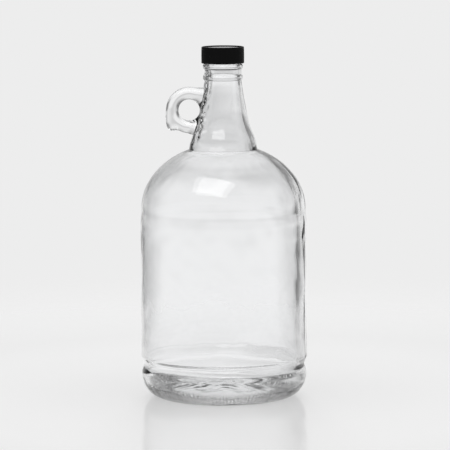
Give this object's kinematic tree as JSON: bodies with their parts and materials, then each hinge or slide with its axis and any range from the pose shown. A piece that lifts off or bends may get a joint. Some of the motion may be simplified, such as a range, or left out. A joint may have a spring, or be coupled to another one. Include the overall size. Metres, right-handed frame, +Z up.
{
  "type": "glass jug",
  "caption": "Clear glass jug with a narrow neck, finger ring, domed shoulder and screw cap, for fermenting, storing and pouring wine, cider or beer.",
  "frame": {"origin": "on the jug's axis, in the plane it stands on", "axes": "+Z up along the jug's axis and the cap's screw axis; the finger ring and its spur are on the -X side, in the X-Z plane"},
  "size_m": [0.158, 0.158, 0.3329],
  "materials": {
    "clear_glass": "clear fire-polished flint glass, with fine stippling on the bearing ring",
    "cap_plastic": "black moulded plastic, fine ribs on the skirt, glossy top",
    "liner_foam": "off-white closed-cell foam"
  },
  "bodies": {
    "jug": {"glass_jug": "clear_glass"},
    "liner": {"cap_liner": "liner_foam"},
    "cap": {"screw_cap": "cap_plastic"}
  },
  "joints": [
    {"name": "cap_lift", "type": "slide", "parent": "jug", "child": "liner", "axis": [0, 0, 1], "range_m": [0, 0.01693]},
    {"name": "cap_turn", "type": "hinge", "parent": "liner", "child": "cap", "pos_m": [0, 0, 0.3172], "axis": [0, 0, 1], "range_deg": [0, 1440.01]}
  ],
  "couplings": [
    {"joint": "cap_turn", "follows": "cap_lift", "rad_per_m": 1484.2}
  ]
}
